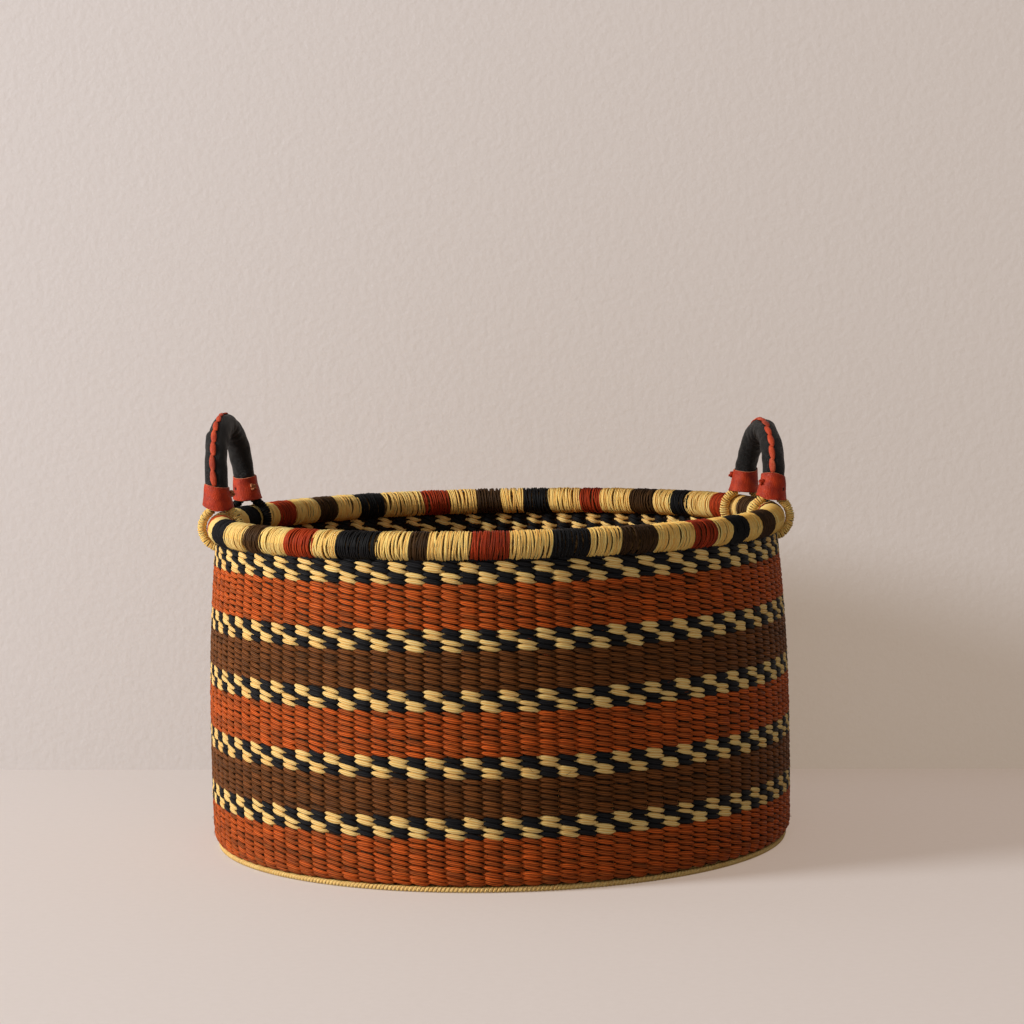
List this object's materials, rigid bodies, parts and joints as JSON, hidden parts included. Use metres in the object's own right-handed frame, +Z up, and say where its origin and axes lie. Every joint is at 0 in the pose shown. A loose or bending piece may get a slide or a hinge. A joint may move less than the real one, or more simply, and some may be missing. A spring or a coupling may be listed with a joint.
{
  "type": "twined grass basket",
  "caption": "Round deep basket of twined grass in dyed bands, with a bound roll rim and two small arched leather-covered handles that turn on the rim.",
  "frame": {"origin": "on the floor under the middle of the base", "axes": "+Z up, +X from the left handle to the right handle, +Y towards the side that both handles are set back to"},
  "size_m": [0.4564, 0.446, 0.3308],
  "materials": {
    "straw": "undyed twined grass, dry and matt, with fine lengthwise fibres",
    "check_straw": "twined grass, undyed and black stitches in turn",
    "rust_straw": "twined grass dyed rust red",
    "brown_straw": "twined grass dyed dark brown",
    "rim_binding": "grass strands wound round the rim in blocks of black, undyed, brown and red",
    "black_leather": "black goat leather, slightly glossy, creased",
    "red_leather": "red goat leather with pale raw edges"
  },
  "bodies": {
    "basket": {"base_mat": "straw", "base_edge_cord": "straw", "stake_frame": "straw", "check_band_1": "check_straw", "check_band_2": "check_straw", "check_band_3": "check_straw", "check_band_4": "check_straw", "check_band_5": "check_straw", "rust_band_1": "rust_straw", "rust_band_2": "rust_straw", "rust_band_3": "rust_straw", "brown_band_1": "brown_straw", "brown_band_2": "brown_straw", "rim_core": "straw", "rim_wrap_1": "rim_binding", "rim_wrap_2": "rim_binding", "rim_wrap_3": "rim_binding", "rim_wrap_4": "rim_binding", "rim_wrap_5": "rim_binding", "rim_wrap_6": "rim_binding", "rim_wrap_7": "rim_binding", "rim_wrap_8": "rim_binding", "rim_wrap_9": "rim_binding"},
    "left_handle": {"left_grip_core": "straw", "left_sleeve": "black_leather", "left_lace": "red_leather", "left_cuff_a": "red_leather", "left_knot_a": "red_leather", "left_loop_a": "straw", "left_cuff_b": "red_leather", "left_knot_b": "red_leather", "left_loop_b": "straw"},
    "right_handle": {"right_grip_core": "straw", "right_sleeve": "black_leather", "right_lace": "red_leather", "right_cuff_a": "red_leather", "right_knot_a": "red_leather", "right_loop_a": "straw", "right_cuff_b": "red_leather", "right_knot_b": "red_leather", "right_loop_b": "straw"}
  },
  "joints": [
    {"name": "left_handle_fold", "type": "hinge", "parent": "basket", "child": "left_handle", "pos_m": [-0.20337, 0.03221, 0.2437], "axis": [-0.1564, -0.9877, 0], "range_deg": [-104.5, 115.5]},
    {"name": "right_handle_fold", "type": "hinge", "parent": "basket", "child": "right_handle", "pos_m": [0.20337, 0.03221, 0.2437], "axis": [-0.1564, 0.9877, 0], "range_deg": [-105.5, 114.5]}
  ]
}
